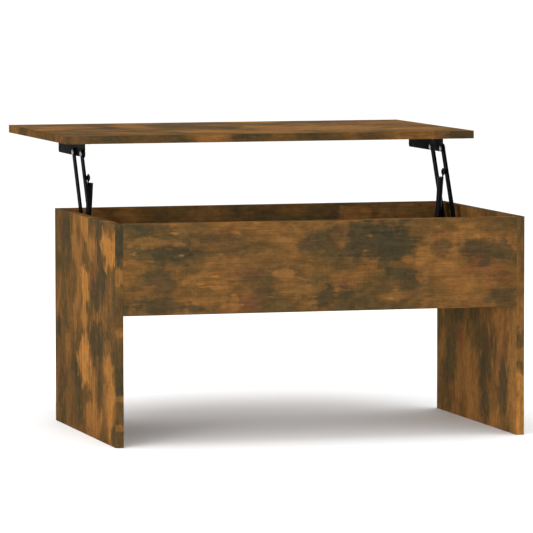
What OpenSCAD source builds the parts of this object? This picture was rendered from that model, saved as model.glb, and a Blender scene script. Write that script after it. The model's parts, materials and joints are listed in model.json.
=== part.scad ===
// Lift top coffee table: a storage box on two panel legs, with a top that swings up and forward.
// Origin on the floor at the centre of the base. +Z up, +X to one side, and +Y to the user's side,
// where the raised top comes to. The model stands with its top raised.

/* [Table] */
// Length of the table top, along X
top_length = 800; // [700:1:1000]
// Depth of the table top, along Y
top_depth = 500; // [460:1:600]
// Height of the base, which is the side panels' height
base_height = 405; // [380:1:450]
// Length of the base over its side panels
base_length = 777; // [680:1:980]
// Depth of the base over its aprons
base_depth = 483; // [440:1:580]
// Thickness of every board
board = 15; // [15:0.5:18]
// Height of the rear and front aprons
apron_height = 166.5; // [150:0.5:200]
// Thickness of the edge banding
band = 0.8; // [0.4:0.1:1.5]

/* [Lift mechanism] */
// How far the top rises
rise = 127.5; // [110:0.5:130]
// Gap between the closed top and the base
closed_gap = 0.5; // [0.3:0.1:2]
// Distance between an arm's two pivots
arm_length = 247.5; // [235:0.5:260]
// Angle of the raised arms from +Y, in degrees
raised_angle = 62.5; // [55:0.5:75]
// Width of an arm
arm_width = 18; // [16:0.5:20]
// Thickness of an arm
arm_t = 3; // [2.5:0.1:3]
// Thickness of the bracket steel
steel = 2; // [1.5:0.1:2]
// Distance between a front arm and a rear arm at their pivots
pivot_spacing = 66.8; // [62:0.1:72]
// Place along Y of the rear arms' lower pivots
rear_pivot_y = 38; // [30:1:50]
// Height of the lower pivots
lower_pivot_z = 292.5; // [290:0.5:300]
// Length of the brackets under the top
top_bracket_length = 216; // [180:1:220]
// Depth of the brackets under the top
top_bracket_depth = 27.5; // [26:0.5:30]

/* [Springs] */
// Outer diameter of a spring
spring_d = 12; // [10:0.5:12]
// Inner diameter of a spring
spring_bore = 7.6; // [6:0.1:8]
// Distance from a rear arm's lower pivot to its spring pin
spring_pin_reach = 198; // [170:1:205]
// Place along Y of the springs' anchor pins
anchor_y = 174; // [165:1:178]
// Height of the springs' anchor pins
anchor_z = 275; // [272:1:280]

/* [Hidden] */
$fn = 48;

wood_colour = [0.43, 0.29, 0.17];
band_colour = [0.36, 0.25, 0.15];
black_steel = [0.07, 0.07, 0.075];
zinc = [0.72, 0.73, 0.74];
beech = [0.80, 0.66, 0.45];

half_length = base_length / 2;
half_depth = base_depth / 2;
panel_face = half_length - board;
panel_mid = half_length - board / 2;
apron_face = half_depth - board;
apron_mid = half_depth - board / 2;
apron_foot = base_height - apron_height;
floor_top = apron_foot + board;
floor_mid = apron_foot + board / 2;

// The arms turn from raised_angle to closed_angle, and their ends' path sets where the top comes to.
closed_angle = 180 - asin((arm_length * sin(raised_angle) - rise) / arm_length);
reach = arm_length * (cos(raised_angle) - cos(closed_angle));
raised_under = base_height + closed_gap + rise;
arm_rise = arm_length * sin(raised_angle);
arm_run = arm_length * cos(raised_angle);
upper_pivot_z = lower_pivot_z + arm_rise;
front_pivot_y = rear_pivot_y + pivot_spacing;

// Planes of the right-hand mechanism, as distances from the table's middle, from the panel inwards.
pivot_gap = 1;
ear_out = panel_face - 12.5;
ear_in = ear_out - steel;
arm_out = ear_in - pivot_gap;
arm_in = arm_out - arm_t;
flange_out = arm_in - pivot_gap;
flange_in = flange_out - steel;
spring_x = flange_in - spring_d / 2 - 0.5;

pivot_r = 3.5;
running_gap = 0.05;
washer_t = 0.6;
washer_r = 7;
head_r = 5.7;
head_t = 2;
head_gap = 0.4;
slim_head_t = 1.9;

// Base brackets
base_bracket_y0 = 20;
base_bracket_y1 = 190;
base_bracket_foot = 262;
base_bracket_back_top = 345;
ear_top = 322;
ear_round = 10;
access_r = 5.5;
upper_screw_z = 334;
lower_screw_z = 281;
base_screw_spots = [[45, upper_screw_z], [165, upper_screw_z], [70, lower_screw_z], [140, lower_screw_z]];

// Stop pins, which the front arms lean on when the top is raised
stop_r = 4;
stop_along = 28;
stop_off = arm_width / 2 + stop_r + 0.3;
stop_y = front_pivot_y + stop_along * cos(raised_angle) + stop_off * sin(raised_angle);
stop_z = lower_pivot_z + stop_along * sin(raised_angle) - stop_off * cos(raised_angle);

// Springs: each runs from its anchor pin on the base bracket to a pin on the rear arm
pin_r = 4;
eye_wire_r = 1.5;
eye_r = pin_r + eye_wire_r + 0.3;
eye_x = spring_x + 4;
neck_r = 1.8;
neck_end = 11;
cap_t = 1.5;
plug_length = 9;
spring_pin_y = rear_pivot_y + spring_pin_reach * cos(raised_angle);
spring_pin_z = lower_pivot_z + spring_pin_reach * sin(raised_angle);
spring_angle = atan2(spring_pin_z - anchor_z, spring_pin_y - anchor_y);
spring_span = norm([spring_pin_y - anchor_y, spring_pin_z - anchor_z]);
pin_tip = eye_x - eye_wire_r - 0.3;
pin_head_r = 4.6;
pin_head_t = 0.8;
pin_tail_r = 3;
pin_button_r = 5;
pin_button_t = 1;

// Top brackets
bracket_y0 = rear_pivot_y + arm_run - 9.3;
bracket_y1 = bracket_y0 + top_bracket_length;
bracket_round = 6;
shelf_width = 26;
top_screw_x = flange_out - 14;
top_screw_spots = [bracket_y0 + 22, (bracket_y0 + bracket_y1) / 2, bracket_y1 - 20];

// Wood screws
screw_r = 1.8;
screw_hole_r = 1.9;
screw_clearance_r = 2.3;
screw_head_r = 4;
screw_head_t = 2;
screw_bite = 11;

// Panel fittings: dowels, and cams that draw in the bolts screwed into the next board
dowel_r = 4;
dowel_hole_r = 4.05;
dowel_short = 10;
dowel_long = 20;
cam_r = 7.45;
cam_hole_r = 7.55;
cam_height = 12;
cam_hole_depth = 12.3;
cam_reach = 34;
cam_slot = 2.2;
cam_cross = 8;
cam_cross_depth = 3;
bolt_shank_r = 3.4;
bolt_bore_r = 3.75;
bolt_neck_r = 2;
bolt_thread_r = 2.9;
bolt_thread_hole_r = 3;
bolt_thread_length = 10.5;
bolt_head_length = 4;
bolt_neck_length = 5;
apron_cam_z = [apron_foot + 37, base_height - 46];
apron_dowel_z = base_height - apron_height / 2;
floor_cam_y = 150;
floor_side_dowel_y = 205;
floor_apron_dowel_x = 200;

// Holes in the panels' feet for nailed or screwed glides
glide_hole_r = 2.5;
glide_hole_depth = 20;
glide_spacing_y = 400;

// ---- Shared shapes ----

// A box from its lowest to its highest corner
module box(low, high) {
    translate(low) cube(high - low);
}

// Its children on the right-hand side (side = 1) or mirrored to the left (side = -1)
module on_side(side) {
    if (side > 0) children();
    else mirror([1, 0, 0]) children();
}

// Its children on both sides
module both_sides() {
    for (side = [-1, 1]) on_side(side) children();
}

// Its children at the front and mirrored to the rear
module front_and_rear() {
    children();
    mirror([0, 1, 0]) children();
}

// A flat outline drawn in Y and Z, made solid from x0 to x1
module plate_x(x0, x1) {
    translate([x0, 0, 0]) rotate([90, 0, 90]) linear_extrude(x1 - x0) children();
}

// A round bar along X through (y, z), from x0 to x1
module bar_x(y, z, x0, x1, r) {
    translate([x0, y, z]) rotate([0, 90, 0]) cylinder(r = r, h = x1 - x0);
}

// A round bar along Y through (x, z), from y0 to y1
module bar_y(x, z, y0, y1, r) {
    translate([x, y0, z]) rotate([-90, 0, 0]) cylinder(r = r, h = y1 - y0);
}

// A round bar along Z through (x, y), from z0 to z1
module bar_z(x, y, z0, z1, r) {
    translate([x, y, z0]) cylinder(r = r, h = z1 - z0);
}

// A rectangle whose top corners are rounded
module round_top(y0, z0, y1, z1, r) {
    translate([y0, z0]) square([y1 - y0, z1 - z0 - r]);
    translate([y0 + r, z0]) square([y1 - y0 - 2 * r, z1 - z0]);
    for (y = [y0 + r, y1 - r]) translate([y, z1 - r]) circle(r);
}

// ---- Panel fittings, drawn for the right-hand side ----

// A dowel at an apron's or the bottom panel's end, or the hole for it
module end_dowel(y, z, r, extra = 0) {
    bar_x(y, z, panel_face - dowel_long - extra, panel_face + dowel_short + extra, r);
}

// A dowel between the bottom panel and the front apron, or the hole for it
module floor_dowel(x, r, extra = 0) {
    bar_y(x, floor_mid, apron_face - dowel_long - extra, apron_face + dowel_short + extra, r);
}

// Every dowel of one side, or the holes for them
module side_dowels(r, extra = 0) {
    front_and_rear() {
        end_dowel(apron_mid, apron_dowel_z, r, extra);
        end_dowel(floor_side_dowel_y, floor_mid, r, extra);
        floor_dowel(floor_apron_dowel_x, r, extra);
    }
}

// One cam bolt along X at (y, z): thread in the side panel, then shank, neck and head
module cam_bolt(y, z) {
    cam_x = panel_face - cam_reach;
    head_x = cam_x - bolt_head_length / 2;
    neck_x = head_x + bolt_head_length;
    shank_x = neck_x + bolt_neck_length;
    bar_x(y, z, head_x, neck_x, bolt_shank_r);
    bar_x(y, z, neck_x, shank_x, bolt_neck_r);
    bar_x(y, z, shank_x, panel_face, bolt_shank_r);
    bar_x(y, z, panel_face, panel_face + bolt_thread_length, bolt_thread_r);
}

// The bores for a cam bolt in the board that holds the cam, and in the side panel
module cam_bolt_bore(y, z) {
    bar_x(y, z, panel_face - cam_reach - 4, panel_face + 1, bolt_bore_r);
}

module cam_thread_hole(y, z) {
    bar_x(y, z, panel_face - 1, panel_face + bolt_thread_length + 0.5, bolt_thread_hole_r);
}

// A cam, its open face at z = 0 and its body below, with the bolt coming from +X
module cam() {
    body_past_bolt = cam_height - board / 2;
    assert(body_past_bolt > bolt_bore_r, "the cam is too short for its bolt");
    difference() {
        translate([0, 0, -cam_height]) cylinder(r = cam_r, h = cam_height);
        translate([-bolt_head_length / 2 - 0.8, 0, -board / 2]) rotate([0, 90, 0]) {
            cylinder(r = bolt_bore_r, h = cam_r + 5);
        }
        for (turn = [0, 90]) rotate([0, 0, turn + 45]) {
            translate([-cam_cross / 2, -cam_slot / 2, -cam_cross_depth]) {
                cube([cam_cross, cam_slot, cam_cross_depth + 1]);
            }
        }
    }
}

// Moves a cam, or its hole, from the origin to each of one side's places
module at_apron_cams() {
    front_and_rear() for (z = apron_cam_z) {
        translate([panel_face - cam_reach, apron_face, z]) rotate([90, 0, 0]) children();
    }
}

module at_floor_cams() {
    front_and_rear() {
        translate([panel_face - cam_reach, floor_cam_y, apron_foot]) rotate([180, 0, 0]) children();
    }
}

module cam_hole() {
    translate([0, 0, -cam_hole_depth]) cylinder(r = cam_hole_r, h = cam_hole_depth + 1);
}

// ---- Boards ----

module side_panel(side) {
    color(wood_colour) on_side(side) difference() {
        box([panel_face, band - half_depth, 0], [half_length, half_depth - band, base_height - band]);
        side_dowels(dowel_hole_r, 0.5);
        front_and_rear() {
            for (z = apron_cam_z) cam_thread_hole(apron_mid, z);
            cam_thread_hole(floor_cam_y, floor_mid);
            bar_z(panel_mid, glide_spacing_y / 2, -1, glide_hole_depth, glide_hole_r);
        }
        for (spot = base_screw_spots) {
            bar_x(spot[0], spot[1], panel_face - 1, panel_face + screw_bite, screw_hole_r);
        }
    }
}

module front_apron_board() {
    difference() {
        box([-panel_face, apron_face, apron_foot + band], [panel_face, half_depth, base_height - band]);
        both_sides() {
            side_dowels(dowel_hole_r, 0.5);
            for (z = apron_cam_z) cam_bolt_bore(apron_mid, z);
            at_apron_cams() cam_hole();
        }
    }
}

module front_apron() {
    color(wood_colour) front_apron_board();
}

module rear_apron() {
    color(wood_colour) mirror([0, 1, 0]) front_apron_board();
}

module bottom_panel() {
    color(wood_colour) difference() {
        box([-panel_face, -apron_face, apron_foot], [panel_face, apron_face, floor_top]);
        both_sides() {
            side_dowels(dowel_hole_r, 0.5);
            front_and_rear() cam_bolt_bore(floor_cam_y, floor_mid);
            at_floor_cams() cam_hole();
        }
    }
}

module top_panel() {
    color(wood_colour) difference() {
        box(
            [band - top_length / 2, reach - top_depth / 2 + band, raised_under],
            [top_length / 2 - band, reach + top_depth / 2 - band, raised_under + board]
        );
        both_sides() for (y = top_screw_spots) {
            bar_z(top_screw_x, y, raised_under - 1, raised_under + screw_bite, screw_hole_r);
        }
    }
}

// ---- Edge banding ----

module side_edge_bands(side) {
    color(band_colour) on_side(side) {
        box([panel_face, -half_depth, base_height - band], [half_length, half_depth, base_height]);
        front_and_rear() {
            box([panel_face, half_depth - band, 0], [half_length, half_depth, base_height - band]);
        }
    }
}

module front_bands() {
    for (z = [apron_foot, base_height - band]) {
        box([-panel_face, apron_face, z], [panel_face, half_depth, z + band]);
    }
}

module front_apron_edge_bands() {
    color(band_colour) front_bands();
}

module rear_apron_edge_bands() {
    color(band_colour) mirror([0, 1, 0]) front_bands();
}

module top_edge_bands() {
    x = top_length / 2;
    y0 = reach - top_depth / 2;
    y1 = reach + top_depth / 2;
    color(band_colour) {
        for (y = [y0, y1 - band]) box([-x, y, raised_under], [x, y + band, raised_under + board]);
        both_sides() box([x - band, y0 + band, raised_under], [x, y1 - band, raised_under + board]);
    }
}

// ---- Panel fittings ----

module wood_dowels() {
    color(beech) both_sides() side_dowels(dowel_r);
}

module cam_bolts() {
    color(zinc) both_sides() front_and_rear() {
        for (z = apron_cam_z) cam_bolt(apron_mid, z);
        cam_bolt(floor_cam_y, floor_mid);
    }
}

module cam_locks() {
    color(zinc) both_sides() {
        at_apron_cams() cam();
        at_floor_cams() cam();
    }
}

// ---- Base brackets ----

// A channel of bent steel: a back on the side panel, a web, and an ear that carries the pivots
module base_bracket(side) {
    color(black_steel) on_side(side) difference() {
        union() {
            plate_x(panel_face - steel, panel_face) {
                round_top(base_bracket_y0, base_bracket_foot, base_bracket_y1, base_bracket_back_top, ear_round);
            }
            plate_x(ear_in, ear_out) {
                round_top(base_bracket_y0, base_bracket_foot, base_bracket_y1, ear_top, ear_round);
            }
            box(
                [ear_in, base_bracket_y0, base_bracket_foot],
                [panel_face, base_bracket_y1, base_bracket_foot + steel]
            );
        }
        for (y = [rear_pivot_y, front_pivot_y]) {
            bar_x(y, lower_pivot_z, ear_in - 1, ear_out + 1, pivot_r + running_gap);
        }
        bar_x(anchor_y, anchor_z, ear_in - 1, ear_out + 1, pin_tail_r + running_gap);
        bar_x(stop_y, stop_z, ear_in - 1, ear_out + 1, pin_tail_r + running_gap);
        for (spot = base_screw_spots) {
            bar_x(spot[0], spot[1], panel_face - steel - 1, panel_face + 1, screw_clearance_r);
            if (spot[1] == lower_screw_z) bar_x(spot[0], spot[1], ear_in - 1, ear_out + 1, access_r);
        }
    }
}

module base_bracket_screws() {
    head_x = panel_face - steel;
    color(zinc) both_sides() for (spot = base_screw_spots) {
        bar_x(spot[0], spot[1], head_x - screw_head_t, head_x, screw_head_r);
        bar_x(spot[0], spot[1], head_x, head_x + screw_bite, screw_r);
    }
}

// A pivot rivet from an outer head at x1 to an inner head at x0, which are given between the heads
module rivet(y, z, x0, x1, inner_head_t) {
    bar_x(y, z, x0, x1, pivot_r);
    bar_x(y, z, x1, x1 + head_t, head_r);
    bar_x(y, z, x0 - inner_head_t, x0, head_r);
}

// A washer along X round a rivet
module washer(y, z, x0) {
    difference() {
        bar_x(y, z, x0, x0 + washer_t, washer_r);
        bar_x(y, z, x0 - 1, x0 + washer_t + 1, pivot_r + running_gap);
    }
}

module lower_pivot_rivets() {
    color(zinc) both_sides() for (y = [rear_pivot_y, front_pivot_y]) {
        rivet(y, lower_pivot_z, arm_in - head_gap, ear_out, slim_head_t);
    }
}

module lower_pivot_washers() {
    color(zinc) both_sides() for (y = [rear_pivot_y, front_pivot_y]) {
        washer(y, lower_pivot_z, ear_in - washer_t);
    }
}

// A pin riveted in a plate that lies between tail_x and tail_end, and reaching inwards to pin_tip
module spring_post(y, z, tail_x, tail_end) {
    bar_x(y, z, pin_tip, tail_x, pin_r);
    bar_x(y, z, pin_tip - pin_head_t, pin_tip, pin_head_r);
    bar_x(y, z, tail_x, tail_end, pin_tail_r);
    bar_x(y, z, tail_end, tail_end + pin_button_t, pin_button_r);
}

module spring_anchor_pins() {
    color(black_steel) both_sides() spring_post(anchor_y, anchor_z, ear_in, ear_out);
}

module arm_stop_pins() {
    color(black_steel) both_sides() {
        bar_x(stop_y, stop_z, arm_in - head_gap, ear_in, stop_r);
        bar_x(stop_y, stop_z, ear_in, ear_out, pin_tail_r);
        bar_x(stop_y, stop_z, ear_out, ear_out + pin_button_t, pin_button_r);
    }
}

// ---- Arms ----

// A flat bar with round ends, from the lower pivot to the upper one
module arm(y, side, has_spring_pin) {
    color(black_steel) on_side(side) difference() {
        plate_x(arm_in, arm_out) translate([y, lower_pivot_z]) rotate(raised_angle) {
            translate([0, -arm_width / 2]) square([arm_length, arm_width]);
            for (end = [0, arm_length]) translate([end, 0]) circle(arm_width / 2);
        }
        bar_x(y, lower_pivot_z, arm_in - 1, arm_out + 1, pivot_r + running_gap);
        bar_x(y + arm_run, upper_pivot_z, arm_in - 1, arm_out + 1, pivot_r + running_gap);
        if (has_spring_pin) {
            bar_x(spring_pin_y, spring_pin_z, arm_in - 1, arm_out + 1, pin_tail_r + running_gap);
        }
    }
}

module spring_pin(side) {
    color(black_steel) on_side(side) spring_post(spring_pin_y, spring_pin_z, arm_in, arm_out);
}

// ---- Springs, drawn along +X from the anchor pin and then turned into place ----

module along_spring(side) {
    on_side(side) translate([spring_x, anchor_y, anchor_z]) rotate([90, 0, 90]) rotate(spring_angle) {
        children();
    }
}

// The coil's outer shape
module spring(side) {
    start = neck_end + cap_t;
    color(black_steel) along_spring(side) difference() {
        translate([start, 0, 0]) rotate([0, 90, 0]) cylinder(d = spring_d, h = spring_span - 2 * start);
        translate([start - 1, 0, 0]) rotate([0, 90, 0]) cylinder(d = spring_bore, h = spring_span);
    }
}

// An eye round a pin, with a neck to the side of a plug that is nearer the plate
module hook() {
    translate([0, 0, eye_x - spring_x]) {
        rotate_extrude() translate([eye_r, 0]) circle(eye_wire_r, $fn = 24);
        rotate([0, 90, 0]) translate([0, 0, eye_r]) cylinder(r = neck_r, h = neck_end - eye_r);
    }
}

// A cap on the coil's end, and the stem that the coil grips
module plug() {
    rotate([0, 90, 0]) {
        translate([0, 0, neck_end]) cylinder(d = spring_d, h = cap_t);
        translate([0, 0, neck_end + cap_t]) cylinder(d = spring_bore - 0.1, h = plug_length);
    }
}

// Turns what is drawn for the lower end to the upper end
module upper_end() {
    translate([spring_span, 0, 0]) rotate([0, 0, 180]) children();
}

module spring_lower_hook(side) {
    color(black_steel) along_spring(side) hook();
}

module spring_lower_plug(side) {
    color(black_steel) along_spring(side) plug();
}

module spring_upper_hook(side) {
    color(black_steel) along_spring(side) upper_end() hook();
}

module spring_upper_plug(side) {
    color(black_steel) along_spring(side) upper_end() plug();
}

// ---- Top brackets ----

// An angle: a flange that hangs down beside the arms, and a shelf screwed under the top
module top_bracket(side) {
    flange_foot = raised_under - top_bracket_depth;
    color(black_steel) on_side(side) difference() {
        union() {
            plate_x(flange_in, flange_out) {
                translate([bracket_y0, flange_foot + bracket_round]) {
                    square([top_bracket_length, top_bracket_depth - bracket_round]);
                }
                translate([bracket_y0, flange_foot]) {
                    square([top_bracket_length - bracket_round, bracket_round]);
                }
                translate([bracket_y1 - bracket_round, flange_foot + bracket_round]) circle(bracket_round);
            }
            box(
                [flange_out - shelf_width, bracket_y0, raised_under - steel],
                [flange_out, bracket_y1, raised_under]
            );
        }
        for (y = [rear_pivot_y, front_pivot_y]) {
            bar_x(y + arm_run, upper_pivot_z, flange_in - 1, flange_out + 1, pivot_r + running_gap);
        }
        for (y = top_screw_spots) {
            bar_z(top_screw_x, y, raised_under - steel - 1, raised_under + 1, screw_clearance_r);
        }
    }
}

module top_bracket_screws() {
    head_z = raised_under - steel;
    color(zinc) both_sides() for (y = top_screw_spots) {
        bar_z(top_screw_x, y, head_z - screw_head_t, head_z, screw_head_r);
        bar_z(top_screw_x, y, head_z, head_z + screw_bite, screw_r);
    }
}

module upper_pivot_rivets() {
    color(zinc) both_sides() for (y = [rear_pivot_y, front_pivot_y]) {
        rivet(y + arm_run, upper_pivot_z, flange_in, arm_out + head_gap, head_t);
    }
}

module upper_pivot_washers() {
    color(zinc) both_sides() for (y = [rear_pivot_y, front_pivot_y]) {
        washer(y + arm_run, upper_pivot_z, flange_out);
    }
}

side_panel(-1);  // left_side_panel
side_panel(1);  // right_side_panel
rear_apron();
front_apron();
bottom_panel();
side_edge_bands(-1);  // left_side_edge_bands
side_edge_bands(1);  // right_side_edge_bands
rear_apron_edge_bands();
front_apron_edge_bands();
wood_dowels();
cam_bolts();
cam_locks();
base_bracket(-1);  // left_base_bracket
base_bracket(1);  // right_base_bracket
base_bracket_screws();
lower_pivot_rivets();
lower_pivot_washers();
spring_anchor_pins();
arm_stop_pins();
arm(rear_pivot_y, -1, true);  // left_rear_arm
arm(front_pivot_y, -1, false);  // left_front_arm
arm(rear_pivot_y, 1, true);  // right_rear_arm
arm(front_pivot_y, 1, false);  // right_front_arm
spring_pin(-1);  // left_spring_pin
spring_pin(1);  // right_spring_pin
spring(-1);  // left_spring
spring(1);  // right_spring
spring_lower_hook(-1);  // left_spring_lower_hook
spring_lower_hook(1);  // right_spring_lower_hook
spring_lower_plug(-1);  // left_spring_lower_plug
spring_lower_plug(1);  // right_spring_lower_plug
spring_upper_hook(-1);  // left_spring_upper_hook
spring_upper_hook(1);  // right_spring_upper_hook
spring_upper_plug(-1);  // left_spring_upper_plug
spring_upper_plug(1);  // right_spring_upper_plug
top_panel();
top_edge_bands();
top_bracket(-1);  // left_top_bracket
top_bracket(1);  // right_top_bracket
top_bracket_screws();
upper_pivot_rivets();
upper_pivot_washers();
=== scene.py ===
"""Lift top coffee table: the visual model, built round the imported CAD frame.

Everything is in metres, in the CAD's own frame: origin on the floor at the centre of the base, +Z up,
+X along the table, and +Y to the user's side. The camera looks at the table from its rear, at -Y.
"""
import json
import math

import bmesh
import bpy
from mathutils import Matrix, Vector


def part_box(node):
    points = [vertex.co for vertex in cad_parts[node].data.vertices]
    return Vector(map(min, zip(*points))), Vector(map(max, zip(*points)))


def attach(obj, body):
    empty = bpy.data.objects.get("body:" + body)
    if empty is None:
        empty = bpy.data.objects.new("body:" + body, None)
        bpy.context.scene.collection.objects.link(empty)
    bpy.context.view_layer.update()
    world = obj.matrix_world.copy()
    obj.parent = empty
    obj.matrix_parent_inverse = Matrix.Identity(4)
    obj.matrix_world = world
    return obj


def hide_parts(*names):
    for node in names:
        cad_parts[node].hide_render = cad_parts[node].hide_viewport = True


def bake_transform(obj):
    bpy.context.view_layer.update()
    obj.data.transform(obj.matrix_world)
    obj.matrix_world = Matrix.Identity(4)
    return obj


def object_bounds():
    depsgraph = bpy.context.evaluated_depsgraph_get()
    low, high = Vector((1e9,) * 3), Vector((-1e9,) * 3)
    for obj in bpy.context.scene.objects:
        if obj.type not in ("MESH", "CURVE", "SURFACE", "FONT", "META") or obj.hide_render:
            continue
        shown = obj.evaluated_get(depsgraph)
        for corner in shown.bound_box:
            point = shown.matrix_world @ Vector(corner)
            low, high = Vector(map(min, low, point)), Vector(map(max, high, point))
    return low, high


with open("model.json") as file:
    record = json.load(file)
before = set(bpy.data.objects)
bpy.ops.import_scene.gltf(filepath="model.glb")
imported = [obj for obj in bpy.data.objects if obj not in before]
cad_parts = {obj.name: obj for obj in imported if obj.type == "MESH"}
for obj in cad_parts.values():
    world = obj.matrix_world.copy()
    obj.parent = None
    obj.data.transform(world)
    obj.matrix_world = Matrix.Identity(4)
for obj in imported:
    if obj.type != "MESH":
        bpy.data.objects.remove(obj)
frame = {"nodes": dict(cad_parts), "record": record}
cad_low, cad_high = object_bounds()
record = frame["record"]

MM = 0.001
SIDES = {"left": -1, "right": 1}


# ---------------------------------------------------------------- camera, floor and light

# Where the camera looks from: to the rear left of the table, a little above its top.
VIEW_TURN = 15.56
VIEW_PITCH = 4.394
VIEW_ROLL = 0.08
VIEW_DISTANCE = 8.541
VIEW_TARGET = Vector((-0.0385, 0, 0.3037))
FOCAL_LENGTH = 308.2
SENSOR = 36

SKY_STRENGTH = 1.1
FLOOR_HALF = 120
FLOOR_GAP = 0.2 * MM
FLOOR_GREY = 0.96


def make_camera():
    turn, pitch = math.radians(VIEW_TURN), math.radians(VIEW_PITCH)
    ahead = Vector((math.sin(turn) * math.cos(pitch), math.cos(turn) * math.cos(pitch), -math.sin(pitch)))
    data = bpy.data.cameras.new("camera")
    data.lens = FOCAL_LENGTH
    data.sensor_width = SENSOR
    data.clip_start = 0.1
    data.clip_end = 500
    camera = bpy.data.objects.new("camera", data)
    bpy.context.scene.collection.objects.link(camera)
    camera.location = VIEW_TARGET - ahead * VIEW_DISTANCE
    look = ahead.to_track_quat("-Z", "Y").to_matrix().to_4x4()
    camera.matrix_world = (
        Matrix.Translation(camera.location) @ look @ Matrix.Rotation(math.radians(-VIEW_ROLL), 4, "Z")
    )
    bpy.context.scene.camera = camera


def area_light(name, place, target, size, power):
    data = bpy.data.lights.new(name, "AREA")
    data.shape = "RECTANGLE"
    data.size, data.size_y = size
    data.energy = power
    lamp = bpy.data.objects.new(name, data)
    bpy.context.scene.collection.objects.link(lamp)
    lamp.location = place
    lamp.rotation_euler = (Vector(target) - Vector(place)).to_track_quat("-Z", "Y").to_euler()
    lamp.visible_camera = False


def make_studio():
    scene = bpy.context.scene
    scene.view_settings.view_transform = "Standard"
    scene.view_settings.look = "None"
    world = bpy.data.worlds.new("studio")
    world.use_nodes = True
    background = world.node_tree.nodes["Background"]
    background.inputs["Color"].default_value = (1, 1, 1, 1)
    background.inputs["Strength"].default_value = SKY_STRENGTH
    scene.world = world
    middle = (cad_low + cad_high) / 2
    area_light("key", middle + Vector((-3.5, -2.7, 1.7)), middle, (2.6, 2.0), 45)
    area_light("fill", middle + Vector((2.6, -3.4, 1.4)), middle, (2.4, 2.4), 4)
    area_light("low", Vector((-2.4, -2.9, 0.45)), Vector((0.1, 0, 0.2)), (1.6, 0.6), 85)
    area_light("overhead", middle + Vector((0, 0.2, 3.2)), middle, (3.0, 3.0), 50)

    mesh = bpy.data.meshes.new("floor")
    corners = [(x * FLOOR_HALF, y * FLOOR_HALF, 0) for x, y in ((-1, -1), (1, -1), (1, 1), (-1, 1))]
    mesh.from_pydata(corners, [], [(0, 1, 2, 3)])
    floor = bpy.data.objects.new("floor", mesh)
    floor.location.z = cad_low.z - FLOOR_GAP
    scene.collection.objects.link(floor)
    material = bpy.data.materials.new("floor")
    material.use_nodes = True
    shader = material.node_tree.nodes["Principled BSDF"]
    shader.inputs["Base Color"].default_value = (FLOOR_GREY, FLOOR_GREY, FLOOR_GREY, 1)
    shader.inputs["Roughness"].default_value = 0.9
    shader.inputs["Specular IOR Level"].default_value = 0.1
    mesh.materials.append(material)


make_camera()
make_studio()


# ---------------------------------------------------------------- materials


def srgb(red, green, blue):
    """A colour given as 0 to 255 on screen, as the linear colour that a shader takes."""
    def linear(c):
        c /= 255
        return c / 12.92 if c <= 0.04045 else ((c + 0.055) / 1.055) ** 2.4
    return (linear(red), linear(green), linear(blue), 1)


class Shader:
    """A material's node tree, with one short call for each kind of node."""

    def __init__(self, name):
        self.material = bpy.data.materials.new(name)
        self.material.use_nodes = True
        self.tree = self.material.node_tree
        self.surface = self.tree.nodes["Principled BSDF"]

    def node(self, kind, **settings):
        made = self.tree.nodes.new(kind)
        for key, value in settings.items():
            setattr(made, key, value)
        return made

    def feed(self, socket, value):
        if isinstance(value, bpy.types.NodeSocket):
            self.tree.links.new(value, socket)
        else:
            socket.default_value = value

    def place(self):
        """The point on the piece, in metres in the piece's own frame."""
        return self.node("ShaderNodeTexCoord").outputs["Object"]

    def stretch(self, vector, scale, offset=(0, 0, 0)):
        made = self.node("ShaderNodeMapping")
        self.feed(made.inputs["Vector"], vector)
        made.inputs["Scale"].default_value = scale
        made.inputs["Location"].default_value = offset
        return made.outputs["Vector"]

    def noise(self, vector, scale=1.0, detail=2.0, rough=0.5, distortion=0.0):
        made = self.node("ShaderNodeTexNoise")
        self.feed(made.inputs["Vector"], vector)
        made.inputs["Scale"].default_value = scale
        made.inputs["Detail"].default_value = detail
        made.inputs["Roughness"].default_value = rough
        made.inputs["Distortion"].default_value = distortion
        return made.outputs["Fac"]

    def math(self, operation, a, b=0.0, c=0.0):
        made = self.node("ShaderNodeMath", operation=operation)
        for socket, value in zip(made.inputs, (a, b, c)):
            self.feed(socket, value)
        return made.outputs[0]

    def remap(self, value, low, high, to_low=0.0, to_high=1.0):
        made = self.node("ShaderNodeMapRange", interpolation_type="SMOOTHSTEP")
        for socket, given in zip(made.inputs, (value, low, high, to_low, to_high)):
            self.feed(socket, given)
        return made.outputs[0]

    def mix(self, factor, a, b, how="MIX"):
        made = self.node("ShaderNodeMix", data_type="RGBA", blend_type=how)
        self.feed(made.inputs[0], factor)
        self.feed(made.inputs[6], a)
        self.feed(made.inputs[7], b)
        return made.outputs[2]

    def ramp(self, value, stops):
        made = self.node("ShaderNodeValToRGB")
        self.feed(made.inputs[0], value)
        points = made.color_ramp.elements
        while len(points) < len(stops):
            points.new(0.5)
        for point, (at, colour) in zip(points, stops):
            point.position = at
            point.color = colour
        return made.outputs[0]

    def bump(self, height, strength, distance):
        made = self.node("ShaderNodeBump")
        self.feed(made.inputs["Height"], height)
        made.inputs["Strength"].default_value = strength
        made.inputs["Distance"].default_value = distance
        self.feed(self.surface.inputs["Normal"], made.outputs["Normal"])

    def set(self, **inputs):
        for key, value in inputs.items():
            self.feed(self.surface.inputs[key.replace("_", " ")], value)
        return self.material


# The print's colours, darkest first
SOOT = srgb(58, 56, 42)
OLIVE = srgb(84, 69, 42)
BROWN = srgb(106, 78, 44)
RUST = srgb(122, 85, 45)
TAN = srgb(150, 103, 54)
HONEY = srgb(186, 125, 62)
RED = srgb(126, 74, 48)

# Axis numbers of a board's grain
ALONG_X, ALONG_Z = 0, 2


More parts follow.
